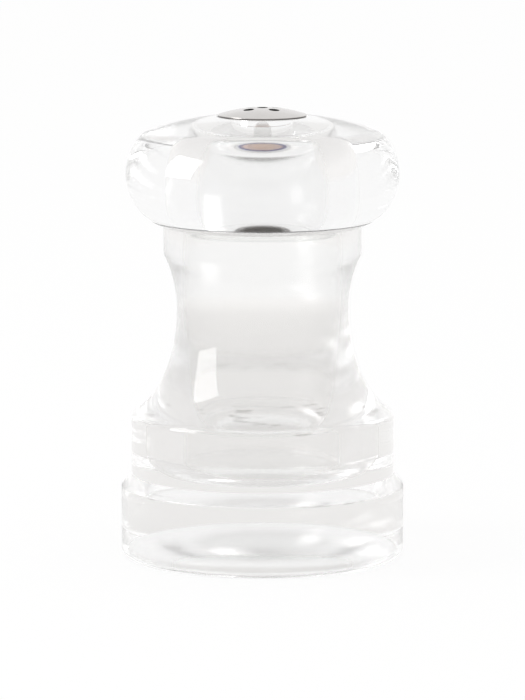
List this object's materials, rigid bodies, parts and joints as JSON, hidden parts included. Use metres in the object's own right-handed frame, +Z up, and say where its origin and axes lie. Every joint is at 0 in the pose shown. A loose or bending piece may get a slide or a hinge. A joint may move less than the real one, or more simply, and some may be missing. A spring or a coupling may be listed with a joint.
{
  "type": "salt shaker",
  "caption": "Clear waisted salt shaker with a lift-off round head on a sealed spigot and a small domed steel cap pierced with pouring holes.",
  "frame": {"origin": "centre of the base at table level", "axes": "+Z up along the shaker's axis of revolution, -Y towards the viewer of the picture"},
  "size_m": [0.0636, 0.0636, 0.1011],
  "materials": {
    "body_acrylic": "polished clear acrylic",
    "head_acrylic": "polished clear acrylic",
    "clear_silicone": "clear silicone rubber",
    "polished_steel": "polished stainless steel",
    "stem_brass": "turned brass, left bright",
    "nut_brass": "turned brass, darkened"
  },
  "bodies": {
    "body": {"body": "body_acrylic"},
    "seal": {"head_seal_ring": "clear_silicone"},
    "head": {"head": "head_acrylic", "shaker_cap": "polished_steel", "cap_stem": "stem_brass", "stem_nut": "nut_brass"}
  },
  "joints": [
    {"name": "head_lift", "type": "slide", "parent": "body", "child": "seal", "axis": [0, 0, 1], "range_m": [0, 0.03]},
    {"name": "head_turn", "type": "hinge", "parent": "seal", "child": "head", "pos_m": [0, 0, 0.0748], "axis": [0, 0, 1], "continuous": true}
  ]
}
